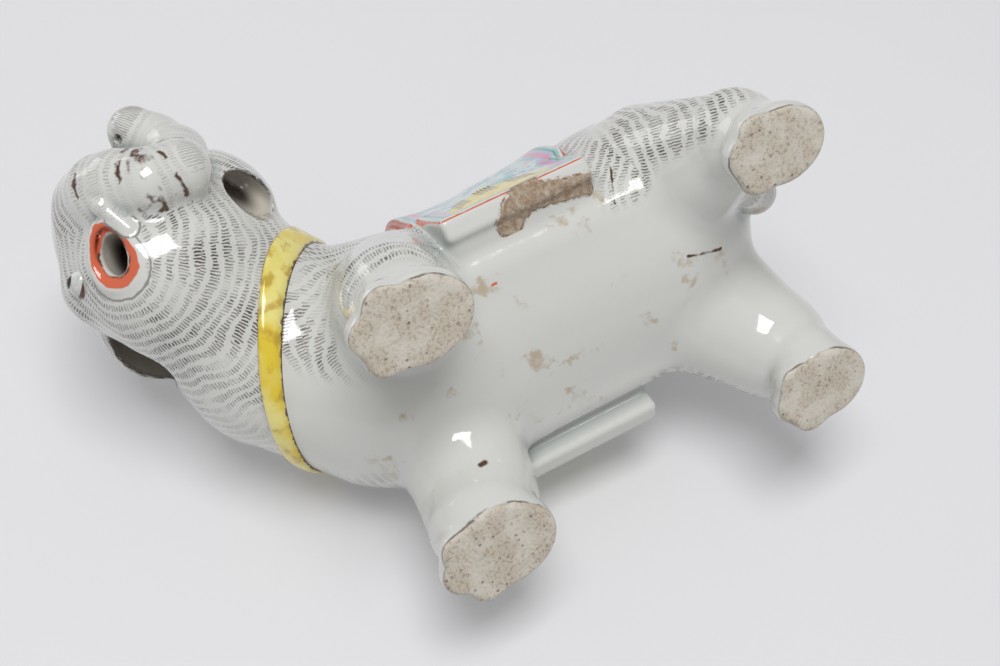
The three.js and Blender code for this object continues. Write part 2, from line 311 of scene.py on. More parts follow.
FORMS = {
    "torso": Form([
        ellipsoid((-6, -36, 54), (30, 27, 31)),
        ellipsoid((0, 2, 52), (25.5, 46, 28)),
        slab((-1.8, 0, 38.0), np.eye(3), (28.9, 37.0, 11.0), 7.5),
        ellipsoid((0, 31, 52), (29, 28, 30)),
        rod((-7, -46, 58), (6, -66, 66), 29, 25),
    ], 12.0, 10.0),
    "head": Form([
        head_lump((0, 0, 1), (24.5, 33, 28)),
        head_lump((-17, 19, -2), (5.0, 7.0, 4.5)),
        head_lump((-1, 8, -14), (17, 20, 14)),
        head_lump((0, 20, 12), (16, 14, 17)),
    ], 9.0, 10.0),
    **{name: leg_form(leg) for name, leg in LEGS.items()},
    "ear_left": ear_form(1),
    "ear_right": ear_form(-1),
    "trunk": Form(chain(TRUNK_PATH), 3.0, 3.5),
    "tail": Form(chain(TAIL_PATH), 2.5, 2.0),
    "saddle_flap_left": flap_form(1),
    "saddle_flap_right": flap_form(-1),
    "vase_socket": socket_form(),
}
FORMS["saddle_cloth"] = cloth_form(FORMS["torso"])
SOLE_ROUNDING = 0.8
LIP_FOLD = [
    (on_head(6.4, 35.4, -4.6), 2.2), (on_head(5.6, 34.0, -14.0), 2.2), (on_head(5.0, 27.0, -18.6), 1.7),
]
MOUTH_RIM = oval_ring(MOUTH_AT, MOUTH_AXES, MOUTH_HALF[0] + 0.8, MOUTH_HALF[1] + 0.8, 1.2)
MOUTH_HOLE = ellipsoid(MOUTH_AT, (MOUTH_HALF[0] * 0.72, MOUTH_HALF[1] * 0.68, 16.0), MOUTH_AXES)
SOCKET_AT = np.array([0.0, SADDLE_MID_Y, SOCKET_TOP])
BORE = rod(SOCKET_AT, SOCKET_AT + [0, 0, 20], SOCKET_BORE, SOCKET_BORE)
NOSTRIL = rod(TRUNK_TIP + NOSTRIL_AXIS * 3, TRUNK_TIP + NOSTRIL_AXIS * 12, NOSTRIL_R, NOSTRIL_R)
# each with the width of its blend into the skin, mm
ADDED = [(MOUTH_RIM, 1.5)] + [(part, 1.0) for part in chain(LIP_FOLD)]
CUTS = [(MOUTH_HOLE, 1.6), (ear_cup(1), 1.2), (ear_cup(-1), 1.2), (BORE, 1.0), (NOSTRIL, 0.8)]
REACH = 12.0                    # a form has no effect on the skin further away than this, mm


def near(shapes, p, extra):
    low = np.min([s.low for s in shapes], axis=0) - extra
    high = np.max([s.high for s in shapes], axis=0) + extra
    return np.where(np.all((p > low) & (p < high), axis=1))[0]


def uncut_distance(p):
    total = np.full(len(p), FAR)
    for form in FORMS.values():
        here = near(form.shapes, p, REACH)
        part = joined(form.shapes, form.inner_blend, p[here])
        total[here] = smooth_min(total[here], part, form.skin_blend)
    for add, blend in ADDED:
        here = near([add], p, 4)
        total[here] = smooth_min(total[here], add.distance(p[here]), blend)
    return total


def skin_distance(p):
    total = uncut_distance(p)
    for cut, blend in CUTS:
        here = near([cut], p, 4)
        total[here] = smooth_max(total[here], -cut.distance(p[here]), blend)
    return smooth_max(total, -p[:, 2], SOLE_ROUNDING)


def sampled_grid():
    """The same distance as skin_distance on a regular grid, each form only where it reaches."""
    low = np.min([s.low for f in FORMS.values() for s in f.shapes], axis=0) - 3
    high = np.max([s.high for f in FORMS.values() for s in f.shapes], axis=0) + 3
    low[2] = -3.0
    lines = [np.arange(a, b, GRID_STEP, dtype=np.float32) for a, b in zip(low, high)]
    grid = np.full([len(line) for line in lines], FAR, dtype=np.float32)

    def block(shapes, extra):
        first = np.min([s.low for s in shapes], axis=0) - extra
        last = np.max([s.high for s in shapes], axis=0) + extra
        cuts = [slice(*np.searchsorted(line, (a, b))) for line, a, b in zip(lines, first, last)]
        mesh = np.meshgrid(*[line[cut] for line, cut in zip(lines, cuts)], indexing="ij")
        return tuple(cuts), np.stack(mesh, axis=-1)

    for form in FORMS.values():
        where, p = block(form.shapes, REACH)
        grid[where] = smooth_min(grid[where], joined(form.shapes, form.inner_blend, p), form.skin_blend)
    for add, blend in ADDED:
        where, p = block([add], 4)
        grid[where] = smooth_min(grid[where], add.distance(p), blend)
    for cut, blend in CUTS:
        where, p = block([cut], 4)
        grid[where] = smooth_max(grid[where], -cut.distance(p), blend)
    heights = lines[2][None, None, :]
    return smooth_max(grid, np.broadcast_to(-heights, grid.shape), SOLE_ROUNDING), low


def slope_of(distance, p, reach=0.35):
    """Unit outward directions of a distance field, from four samples set as a tetrahedron."""
    corners = np.array([(1, 1, 1), (1, -1, -1), (-1, 1, -1), (-1, -1, 1)], dtype=float)
    total = np.zeros_like(p)
    for corner in corners:
        total += corner * distance(p + corner * reach)[:, None]
    return total / np.maximum(np.linalg.norm(total, axis=1, keepdims=True), 1e-9)


def settled(points, distance, steps=2):
    """Points moved onto the zero surface of a distance field, with their normals."""
    for _ in range(steps):
        normals = slope_of(distance, points)
        points = points - normals * np.clip(distance(points), -1.5, 1.5)[:, None]
    return points, slope_of(distance, points)


def evened(points, quads, amount=0.5):
    """Each point drawn towards the average of its neighbours, so that the quads even out."""
    total = np.zeros_like(points)
    count = np.zeros(len(points))
    for a, b in ((0, 1), (1, 2), (2, 3), (3, 0)):
        for one, other in ((a, b), (b, a)):
            np.add.at(total, quads[:, one], points[quads[:, other]])
            np.add.at(count, quads[:, one], 1)
    return points + (total / np.maximum(count, 1)[:, None] - points) * amount


def skin_surface():
    grid, low = sampled_grid()
    volume = openvdb.FloatGrid(FAR)
    volume.copyFromArray(np.ascontiguousarray(grid))
    points, quads = volume.convertToQuads(0.0)
    points = np.asarray(points, dtype=float) * GRID_STEP + low
    quads = np.asarray(quads, dtype=np.int64)
    points, _ = settled(evened(points, quads), skin_distance, 1)
    points, normals = settled(evened(points, quads, 0.3), skin_distance, 2)
    a, b, c = (points[quads[:, i]] for i in range(3))
    facing = np.einsum("ij,ij->i", np.cross(b - a, c - a), normals[quads[:, 0]])
    if np.median(facing) < 0:
        quads = quads[:, ::-1]
    return points, quads, normals


# ---------- parting the skin at the luting seams ----------
COLLAR_AT = np.array([3.0, -62.0, 60.0])
COLLAR_NORMAL = unit([0.16, -0.81, 0.58])
TORSO_HALVES = ("torso_left_half", "torso_right_half")
HEAD_HALVES = ("head_left_half", "head_right_half")
HALVES = TORSO_HALVES + HEAD_HALVES
APPLIED = [name for name in FORMS if name not in ("torso", "head")]
NAMES = list(HALVES) + APPLIED


def form_distance(name, p):
    form = FORMS[name]
    return joined(form.shapes, form.inner_blend, p)


def main_distance(p):
    return np.minimum(form_distance("torso", p), form_distance("head", p))


def labels_at(p):
    """Which piece each point belongs to, as an index into NAMES."""
    ahead = (p - COLLAR_AT) @ COLLAR_NORMAL > 0
    left_of_head = (p - HEAD_AT) @ HEAD_LEFT > 0
    label = np.where(ahead, np.where(left_of_head, 2, 3), np.where(p[:, 0] > 0, 0, 1))
    best = main_distance(p)
    for name in APPLIED:
        d = form_distance(name, p)
        closer = d < best
        label = np.where(closer, NAMES.index(name), label)
        best = np.where(closer, d, best)
    return label


def seam_value(one, other, p):
    """Zero on the seam between two pieces."""
    pair = {one, other}
    if pair == set(TORSO_HALVES):
        return p[:, 0]
    if pair == set(HEAD_HALVES):
        return (p - HEAD_AT) @ HEAD_LEFT
    if pair <= set(HALVES):
        return (p - COLLAR_AT) @ COLLAR_NORMAL
    d_one, d_other = (main_distance(p) if n in HALVES else form_distance(n, p) for n in (one, other))
    return d_one - d_other


def seams_straightened(points, quads, normals, face_label):
    """Moves the points on each seam onto the true seam, staying on the skin."""
    low_label = np.full(len(points), len(NAMES))
    high_label = np.full(len(points), -1)
    for corner in range(4):
        np.minimum.at(low_label, quads[:, corner], face_label)
        np.maximum.at(high_label, quads[:, corner], face_label)
    for low, high in {tuple(x) for x in np.stack([low_label, high_label], 1) if x[0] < x[1]}:
        on_seam = np.where((low_label == low) & (high_label == high))[0]
        p = points[on_seam]

        def field(q, pair=(NAMES[low], NAMES[high])):
            return seam_value(*pair, q)
        for _ in range(3):
            n = normals[on_seam]
            across = [field(p + axis * 0.2) - field(p - axis * 0.2) for axis in np.eye(3)]
            across = np.stack(across, 1) / 0.4
            across -= n * np.einsum("ij,ij->i", across, n)[:, None]
            size = np.maximum(np.einsum("ij,ij->i", across, across), 0.05)
            move = -across * (field(p) / size)[:, None]
            length = np.linalg.norm(move, axis=1, keepdims=True)
            p = p + move * np.minimum(1, GRID_STEP * 0.4 / np.maximum(length, 1e-9))
        points[on_seam] = p
    return settled(points, skin_distance, 1)


# ---------- making the pieces ----------
def mesh_object(name, points_mm, quads, triangles=()):
    """A mesh from arrays of corners; its triangles come after its quads."""
    corners = np.concatenate([np.asarray(quads).reshape(-1, 4).ravel(),
                              np.asarray(triangles, dtype=np.int64).reshape(-1, 3).ravel()])
    sizes = np.array([4] * len(quads) + [3] * len(triangles))
    mesh = bpy.data.meshes.new(name)
    mesh.vertices.add(len(points_mm))
    mesh.vertices.foreach_set("co", to_frame(points_mm).astype(np.float32).ravel())
    mesh.loops.add(len(corners))
    mesh.loops.foreach_set("vertex_index", corners.astype(np.int32))
    mesh.polygons.add(len(sizes))
    starts = np.concatenate([[0], np.cumsum(sizes)[:-1]])
    mesh.polygons.foreach_set("loop_start", starts.astype(np.int32))
    mesh.update(calc_edges=True)
    mesh.validate()
    mesh.shade_smooth()
    piece = bpy.data.objects.new(name, mesh)
    bpy.context.scene.collection.objects.link(piece)
    return piece, corners, sizes


def boundary_edges(faces):
    """Directed edges that only one face of the patch uses."""
    starts, ends = faces.ravel(), np.roll(faces, -1, axis=1).ravel()
    forward = set(zip(starts.tolist(), ends.tolist()))
    return [(i, j) for i, j in forward if (j, i) not in forward]


def boundary_loops(faces):
    follows = {}
    for i, j in sorted(boundary_edges(faces)):
        follows.setdefault(i, []).append(j)
    loops = []
    while follows:
        start = next(iter(follows))
        loop = [start]
        while True:
            nexts = follows[loop[-1]]
            step = nexts.pop()
            if not nexts:
                del follows[loop[-1]]
            if step == start:
                break
            loop.append(step)
        loops.append(loop)
    return loops


def safe_wall(points, normals, wall):
    """The wall at each point, thinner where the full wall would come out on the far side."""
    depth = np.full(len(points), 0.3)
    for share in (0.25, 0.5, 1.0):
        inside = skin_distance(points - normals * wall * share) < -0.6 * wall * share
        depth = np.where(inside & (depth > wall * share * 0.3), wall * share, depth)
    return depth


def closed_piece(name, points, faces, normals, hollow_wall):
    """Closes a patch of skin into a solid, or into a hollow wall of an even thickness."""
    used, faces = np.unique(faces, return_inverse=True)
    faces = faces.reshape(-1, 4)
    points, normals = points[used], normals[used]
    count = len(points)
    quads, triangles = [faces], []
    all_points = [points]
    if hollow_wall:
        all_points.append(points - normals * safe_wall(points, normals, hollow_wall)[:, None])
        quads.append(faces[:, ::-1] + count)
        quads.append(np.array([(j, i, i + count, j + count) for i, j in sorted(boundary_edges(faces))]))
    else:
        for k, loop in enumerate(boundary_loops(faces)):
            all_points.append(points[loop].mean(axis=0)[None])
            triangles += [(after, start, count + k) for start, after in zip(loop, loop[1:] + loop[:1])]
    all_points = np.concatenate(all_points)
    piece, corners, sizes = mesh_object(name, all_points, np.concatenate(quads), triangles)
    face_normals = np.zeros(len(sizes) * 3)
    piece.data.polygons.foreach_get("normal", face_normals)
    corner_normals = np.repeat(face_normals.reshape(-1, 3), sizes, axis=0)
    outer = slice(0, len(faces) * 4)
    corner_normals[outer] = normals[corners[outer]]
    piece.data.normals_split_custom_set(corner_normals.tolist())
    return piece, all_points


def floats(piece, name, values, kind="FLOAT"):
    layer = piece.data.attributes.new(name, kind, "POINT")
    flat = np.asarray(values, dtype=np.float32).ravel()
    layer.data.foreach_set("value" if kind == "FLOAT" else "vector", flat)


# ---------- building materials out of nodes ----------
class Paint:
    """A thin wrapper that makes nodes and links them, one call per node."""

    def __init__(self, name):
        self.material = bpy.data.materials.new(name)
        self.material.use_nodes = True
        self.tree = self.material.node_tree
        self.tree.nodes.clear()
        self.output = self.tree.nodes.new("ShaderNodeOutputMaterial")
        self.shader = self.tree.nodes.new("ShaderNodeBsdfPrincipled")
        self.tree.links.new(self.shader.outputs[0], self.output.inputs["Surface"])

    def feed(self, socket, source):
        if isinstance(source, bpy.types.NodeSocket):
            self.tree.links.new(source, socket)
        else:
            socket.default_value = source

    def node(self, kind, **settings):
        made = self.tree.nodes.new(kind)
        for key, setting in settings.items():
            setattr(made, key, setting)
        return made

    def math(self, operation, *sources, clamp=False):
        made = self.node("ShaderNodeMath", operation=operation, use_clamp=clamp)
        for socket, source in zip(made.inputs, sources):
            self.feed(socket, source)
        return made.outputs[0]

    def attribute(self, name, vector=False):
        made = self.node("ShaderNodeAttribute", attribute_name=name)
        return made.outputs["Vector" if vector else "Fac"]

    def split(self, vector):
        made = self.node("ShaderNodeSeparateXYZ")
        self.feed(made.inputs[0], vector)
        return made.outputs[0], made.outputs[1], made.outputs[2]

    def join(self, x, y, z):
        made = self.node("ShaderNodeCombineXYZ")
        for socket, source in zip(made.inputs, (x, y, z)):
            self.feed(socket, source)
        return made.outputs[0]

    def place(self):
        """Where a point is, in the figure's own millimetres."""
        made = self.node("ShaderNodeMapping")
        made.inputs["Scale"].default_value = (1 / MM,) * 3
        made.inputs["Location"].default_value = tuple(-FIGURE_ORIGIN / MM)
        self.feed(made.inputs["Vector"], self.node("ShaderNodeTexCoord").outputs["Object"])
        return made.outputs[0]

    def vector(self, operation, *sources, result="Vector"):
        made = self.node("ShaderNodeVectorMath", operation=operation)
        for socket, source in zip(made.inputs, sources):
            self.feed(socket, tuple(source) if isinstance(source, np.ndarray) else source)
        return made.outputs[result]

    def along(self, where, at, axis):
        """How far a point lies from another along an axis."""
        offset = self.vector("SUBTRACT", where, np.asarray(at, dtype=float))
        return self.vector("DOT_PRODUCT", offset, np.asarray(axis, dtype=float), result="Value")

    def warped(self, where, scale, amount):
        """Points pushed about by a noise, so that what is drawn on them turns ragged."""
        made = self.node("ShaderNodeTexNoise")
        self.feed(made.inputs["Vector"], where)
        made.inputs["Scale"].default_value = scale
        push = self.vector("MULTIPLY_ADD", made.outputs["Color"], (amount,) * 3, (-amount / 2,) * 3)
        return self.vector("ADD", where, push)

    def line_distance(self, where, start, end):
        """Distance of a point from a straight stroke."""
        start, end = np.asarray(start, dtype=float), np.asarray(end, dtype=float)
        axis = end - start
        share = self.math("DIVIDE", self.along(where, start, axis), float(axis @ axis), clamp=True)
        nearest = self.node("ShaderNodeVectorMath", operation="SCALE")
        nearest.inputs[0].default_value = tuple(axis)
        self.feed(nearest.inputs["Scale"], share)
        offset = self.vector("SUBTRACT", where, start)
        return self.vector("DISTANCE", offset, nearest.outputs[0], result="Value")

    def both(self, *masks):
        total = masks[0]
        for mask in masks[1:]:
            total = self.math("MULTIPLY", total, mask)
        return total

    def either(self, *masks):
        total = masks[0]
        for mask in masks[1:]:
            total = self.math("MAXIMUM", total, mask)
        return total

    def band(self, value, low, high, soft):
        """One between two values and nought outside them."""
        above = self.step(value, low - soft, low + soft)
        return self.both(above, self.step(value, high + soft, high - soft))

    def centred(self, vector, scale, detail, amount):
        """A noise about nought, of a given strength."""
        return self.math("MULTIPLY", self.math("SUBTRACT", self.noise(vector, scale, detail), 0.5), amount)

    def noise(self, vector, scale, detail=2.0, roughness=0.5):
        made = self.node("ShaderNodeTexNoise")
        self.feed(made.inputs["Vector"], vector)
        made.inputs["Scale"].default_value = scale
        made.inputs["Detail"].default_value = detail
        made.inputs["Roughness"].default_value = roughness
        return made.outputs["Fac"]

    def cells(self, vector, scale):
        """Distance from the middle of the nearest of many scattered cells."""
        made = self.node("ShaderNodeTexVoronoi")
        self.feed(made.inputs["Vector"], vector)
        made.inputs["Scale"].default_value = scale
        return made.outputs["Distance"]

    def step(self, source, low, high, to_low=0.0, to_high=1.0):
        """A smooth rise from one value to another as the source goes from low to high."""
        made = self.node("ShaderNodeMapRange", interpolation_type="SMOOTHSTEP")
        self.feed(made.inputs["Value"], source)
        made.inputs["From Min"].default_value = low
        made.inputs["From Max"].default_value = high
        made.inputs["To Min"].default_value = to_low
        made.inputs["To Max"].default_value = to_high
        return made.outputs["Result"]

    def mix(self, amount, under, over):
        made = self.node("ShaderNodeMix", data_type="RGBA")
        self.feed(made.inputs["Factor"], amount)
        colour_a, colour_b = [s for s in made.inputs if s.type == "RGBA"]
        self.feed(colour_a, under)
        self.feed(colour_b, over)
        return [s for s in made.outputs if s.type == "RGBA"][0]

    def within_one(self, source):
        """A value held between minus one and one."""
        return self.math("MAXIMUM", self.math("MINIMUM", source, 1.0), -1.0)

    def bump(self, height, strength, distance_mm, under=None):
        made = self.node("ShaderNodeBump")
        made.inputs["Strength"].default_value = strength
        made.inputs["Distance"].default_value = distance_mm * MM
        self.feed(made.inputs["Height"], height)
        if under is not None:
            self.feed(made.inputs["Normal"], under)
        return made.outputs["Normal"]

    def finish(self, colour, roughness, normal=None, coat=0.5):
        self.feed(self.shader.inputs["Base Color"], colour)
        self.feed(self.shader.inputs["Roughness"], roughness)
        if normal is not None:
            self.feed(self.shader.inputs["Normal"], normal)
        if coat is not None:
            self.shader.inputs["Coat Weight"].default_value = coat
        self.shader.inputs["Coat Roughness"].default_value = 0.06
        return self.material


def colour(r, g, b):
    return (r, g, b, 1.0)


GLAZE = colour(0.61, 0.61, 0.583)
# glaze darker in the hollows: partly pooled glaze, partly painted shade
GLAZE_POOLED_AND_SHADED = colour(0.44, 0.465, 0.45)
GLAZE_CREAM = colour(0.62, 0.575, 0.50)
# painted shade deep inside the openings and the hollow shell; also the black of the pupils
HOLLOW_SHADE_AND_PUPIL_BLACK = colour(0.035, 0.025, 0.02)
INK = colour(0.05, 0.042, 0.036)
INK_THIN = colour(0.25, 0.235, 0.22)
BROWN_LINE = colour(0.075, 0.03, 0.015)
RUST = colour(0.20, 0.09, 0.035)
OCHRE_STAIN = colour(0.40, 0.30, 0.17)
CLAY = colour(0.56, 0.50, 0.41)
CLAY_PALE = colour(0.66, 0.62, 0.55)
CLAY_DARK = colour(0.38, 0.32, 0.25)
CLAY_BARE = colour(0.28, 0.19, 0.125)
CORAL = colour(0.60, 0.12, 0.055)
YELLOW = colour(0.70, 0.52, 0.03)
YELLOW_DEEP = colour(0.47, 0.30, 0.03)
LEMON = colour(0.76, 0.68, 0.22)
TURQUOISE = colour(0.28, 0.50, 0.52)
TURQUOISE_PALE = colour(0.56, 0.64, 0.64)
LEAF = colour(0.13, 0.33, 0.20)
LAVENDER = colour(0.42, 0.42, 0.58)
PINK = colour(0.62, 0.30, 0.38)

ROW_GAP = 2.75                  # between one row of brushed hair and the next, mm
STROKE_GAP = 0.74               # between one hair and the next, mm
REACH_STEP = 5.0                # depth of the zones in which strokes keep one spacing, mm


def glazed_ground(paint, where):
    """White glaze, darker in the hollows as pooled glaze and painted shade, with faint cloudiness, small
    iron specks, cream just inside openings and painted dark shade deeper in.
    """
    cloud = paint.noise(where, 0.045, 3.0)
    # darker where the skin is hollow: pooled glaze together with painted shade
    pooling_and_shade = paint.math("ADD", paint.attribute("cavity"), paint.math("MULTIPLY", cloud, 0.4))
    ground = paint.mix(paint.step(pooling_and_shade, 0.2, 1.0), GLAZE, GLAZE_POOLED_AND_SHADED)
    speck = paint.step(paint.cells(where, 0.11), 0.05, 0.025)
    lucky = paint.step(paint.noise(where, 0.06, 1.0), 0.60, 0.66)
    ground = paint.mix(paint.both(speck, lucky), ground, RUST)
    deep = paint.attribute("deep")
    ground = paint.mix(paint.step(deep, 0.3, 2.0, 0.0, 0.8), ground, GLAZE_CREAM)
    # painted shade: the deeper inside an opening or the shell, the darker the glaze is painted
    return paint.mix(paint.step(deep, 3.0, 9.0), ground, HOLLOW_SHADE_AND_PUPIL_BLACK)


def hair_rows(paint, where):
    """Rows of short brush strokes across each row: a mask, and how dark the cluster is.

    Rows are counted outward from a point. Around it the strokes keep one spacing, because the
    angle is scaled by the distance out, taken in steps so that a stroke stays straight.
    """
    a, b, v = paint.split(paint.attribute("hair", vector=True))
    sway = paint.centred(where, 0.07, 1.0, ROW_GAP * 2.4)
    shake = paint.centred(where, 0.7, 1.0, ROW_GAP * 0.35)
    rows = paint.math("DIVIDE", paint.math("ADD", paint.math("ADD", v, sway), shake), ROW_GAP)
    row = paint.math("FLOOR", rows)
    in_row = paint.math("ABSOLUTE", paint.math("SUBTRACT", paint.math("FRACT", rows), 0.5))
    out = paint.math("SQRT", paint.math("ADD", paint.both(a, a), paint.both(b, b)))
    zone = paint.math("FLOOR", paint.math("DIVIDE", out, REACH_STEP))
    reach = paint.math("MULTIPLY_ADD", zone, REACH_STEP, REACH_STEP / 2)
    turn = paint.math("MULTIPLY", paint.math("ARCTAN2", b, a), reach)
    jitter = paint.math("MULTIPLY", paint.noise(where, 0.8, 1.0), 0.9)
    count = paint.math("ADD", paint.math("DIVIDE", turn, STROKE_GAP), jitter)
    count = paint.math("MULTIPLY_ADD", row, 0.37, count)
    from_middle = paint.math("ABSOLUTE", paint.math("SUBTRACT", paint.math("FRACT", count), 0.5))
    each = paint.node("ShaderNodeTexWhiteNoise", noise_dimensions="2D")
    paint.feed(each.inputs["Vector"], paint.join(paint.math("FLOOR", count), row, 0.0))
    own_length = paint.math("MULTIPLY_ADD", each.outputs["Value"], -0.20, 0.41)
    length = paint.step(paint.math("SUBTRACT", own_length, in_row), -0.03, 0.06)
    width = paint.step(from_middle, 0.34, 0.20)
    cluster = paint.noise(where, 0.10, 2.5, 0.6)
    cluster = paint.math("MULTIPLY_ADD", each.outputs["Value"], 0.10, cluster)
    return paint.both(length, width), cluster


def bare_sole(paint, where, tone):
    """Unglazed clay under a foot, with a burnt line where the glaze stops."""
    height = paint.split(where)[2]
    edge = paint.math("SUBTRACT", height, paint.math("MULTIPLY", paint.noise(where, 0.35, 3.0), 1.1))
    bare = paint.step(edge, 0.3, 0.0)
    patchy = paint.step(paint.noise(where, 0.16, 3.0), 0.42, 0.60)
    burnt = paint.both(paint.step(edge, 0.85, 0.3), patchy)
    grit = paint.noise(where, 1.1, 6.0, 0.7)
    blotch = paint.noise(where, 0.17, 3.0)
    clay = paint.mix(paint.step(blotch, 0.35, 0.7), CLAY, CLAY_PALE)
    dirty = paint.both(paint.step(grit, 0.50, 0.40), paint.step(blotch, 0.7, 0.4, 0.1, 0.9))
    clay = paint.mix(dirty, clay, CLAY_DARK)
    dot = paint.both(paint.step(paint.cells(where, 0.42), 0.24, 0.14), paint.step(grit, 0.45, 0.55))
    clay = paint.mix(paint.math("MULTIPLY", dot, 0.7), clay, BROWN_LINE)
    tone = paint.mix(paint.math("MULTIPLY", burnt, 0.85), tone, BROWN_LINE)
    return paint.mix(bare, tone, clay), bare, grit


def finished_skin(paint, where, tone, bare=None, grit=None, roughness=0.10, coat=0.5):
    ripple = paint.bump(paint.noise(where, 0.11, 2.0), 0.35, 0.6)
    peel = paint.bump(paint.noise(where, 0.55, 1.0), 0.10, 0.12, ripple)
    if bare is None:
        return paint.finish(tone, roughness, peel, coat)
    rough = paint.math("MULTIPLY_ADD", bare, 0.7, roughness)
    gritty = paint.bump(paint.both(grit, bare), 0.8, 0.5, peel)
    paint.feed(paint.shader.inputs["Coat Weight"], paint.math("MULTIPLY_ADD", bare, -coat, coat))
    return paint.finish(tone, rough, gritty, coat=None)


def haired(paint, where, tone):
    mask, cluster = hair_rows(paint, where)
    ink = paint.attribute("ink")
    pale = paint.both(mask, ink, paint.step(cluster, 0.36, 0.56, 0.2, 0.95))
    dark = paint.both(mask, ink, paint.step(cluster, 0.54, 0.72, 0.0, 0.85))
    wash = paint.both(ink, paint.step(cluster, 0.50, 0.75, 0.0, 0.14))
    tone = paint.mix(wash, tone, INK_THIN)
    tone = paint.mix(pale, tone, INK_THIN)
    return paint.mix(dark, tone, INK)


def streak(paint, tone, where, start, end, half_width, hue, ragged=0.8):
    """A crack or brush line between two points."""
    gap = paint.line_distance(paint.warped(where, 0.45, ragged), start, end)
    return paint.mix(paint.step(gap, half_width * 1.5, half_width * 0.6), tone, hue)


CRACKS = [
    ((31.4, 23.3, 39.5), (27.2, 18.7, 31.0), 0.28), ((27.2, 18.7, 31.0), (23.2, 16.3, 27.0), 0.22),
    ((5.2, 28.5, 20.6), (2.1, 38.0, 21.9), 0.4),
]
PIN_HOLE = (-16.5, -38.7, 12.6)
RED_SPECK = (18.2, -18.8, 25.9)


def body_glaze():
    paint = Paint("body_glaze")
    where = paint.place()
    tone = glazed_ground(paint, where)
    under = paint.step(paint.split(where)[2], 34.0, 29.0)
    smudge = paint.step(paint.noise(where, 0.085, 4.0, 0.65), 0.58, 0.68, 0.0, 0.7)
    tone = paint.mix(paint.both(under, smudge), tone, OCHRE_STAIN)
    tone = haired(paint, where, tone)
    for start, end, half_width in CRACKS:
        tone = streak(paint, tone, where, start, end, half_width, BROWN_LINE)
    tone = streak(paint, tone, where, RED_SPECK, np.array(RED_SPECK) + (0, 1, 0), 0.3, CORAL)
    return finished_skin(paint, where, tone)


def leg_glaze():
    paint = Paint("leg_glaze")
    where = paint.place()
    tone = haired(paint, where, glazed_ground(paint, where))
    tone = streak(paint, tone, where, PIN_HOLE, np.array(PIN_HOLE) + (0, 1.2, 0.3), 0.7, BROWN_LINE, 0.5)
    tone, bare, grit = bare_sole(paint, where, tone)
    return finished_skin(paint, where, tone, bare, grit)


def head_glaze():
    """Hair in rings about the mouth, a coral lip and dark outlines."""
    paint = Paint("head_glaze")
    where = paint.place()
    tone = haired(paint, where, glazed_ground(paint, where))
    long, wide, out = (paint.along(where, MOUTH_AT, axis) for axis in MOUTH_AXES.T)
    share = paint.math("DIVIDE", long, MOUTH_HALF[0])
    widening = paint.math("MULTIPLY_ADD", paint.within_one(share), DROP_SHAPE, 1.0)
    across = paint.math("DIVIDE", wide, paint.math("MULTIPLY", widening, MOUTH_HALF[1]))
    squares = [paint.math("POWER", part, 2.0) for part in (share, across)]
    ring = paint.math("SQRT", paint.math("ADD", *squares))
    ring = paint.math("ADD", ring, paint.centred(where, 0.4, 2.0, 0.16))
    outside = paint.step(out, -9.0, -7.0)
    tone = paint.mix(paint.both(paint.band(ring, 0.78, 1.16, 0.03), outside), tone, CORAL)
    uneven = paint.step(paint.noise(where, 0.3, 1.0), 0.45, 0.6)
    shaded = paint.both(paint.band(ring, 0.76, 0.84, 0.04), outside, uneven)
    tone = paint.mix(shaded, tone, BROWN_LINE)
    tone = paint.mix(paint.both(paint.band(ring, 1.52, 1.60, 0.03), outside), tone, INK_THIN)
    for (start, r), (end, _) in zip(LIP_FOLD, LIP_FOLD[1:]):
        beside = paint.line_distance(paint.warped(where, 0.45, 0.5), start, end)
        tone = paint.mix(paint.step(beside, r + 0.5, r + 0.2), tone, GLAZE)
        tone = paint.mix(paint.band(beside, r + 0.2, r + 0.7, 0.15), tone, INK_THIN)
    return finished_skin(paint, where, tone)


def ear_glaze():
    paint = Paint("ear_glaze")
    where = paint.place()
    tone = haired(paint, where, glazed_ground(paint, where))
    ragged = paint.math("MULTIPLY_ADD", paint.noise(where, 0.4, 2.0), 0.5, paint.attribute("deep"))
    broken = paint.step(paint.noise(where, 0.15, 2.0), 0.42, 0.55, 0.15, 0.9)
    tone = paint.mix(paint.both(paint.band(ragged, 0.45, 0.85, 0.12), broken), tone, BROWN_LINE)
    return finished_skin(paint, where, tone)


TRUNK_BANDS = (25.0, 33.5, 36.5, 39.5, 47.0)     # places of the brown strokes along the trunk, mm


def trunk_glaze():
    """Long rows of hair at the root, then a few brown strokes across, and hair at the tip."""
    paint = Paint("trunk_glaze")
    where = paint.place()
    tone = haired(paint, where, glazed_ground(paint, where))
    a, b, v = paint.split(paint.attribute("hair", vector=True))
    slant = paint.math("MULTIPLY_ADD", a, 0.3, v)
    ragged = paint.math("MULTIPLY", paint.noise(where, 0.5, 3.0), 2.4)
    slant = paint.math("ADD", slant, ragged)
    broken = paint.step(paint.noise(where, 0.22, 2.0), 0.46, 0.56)
    for place in TRUNK_BANDS:
        line = paint.both(paint.band(slant, place, place + 1.1, 0.35), broken)
        tone = paint.mix(line, tone, BROWN_LINE)
    return finished_skin(paint, where, tone)


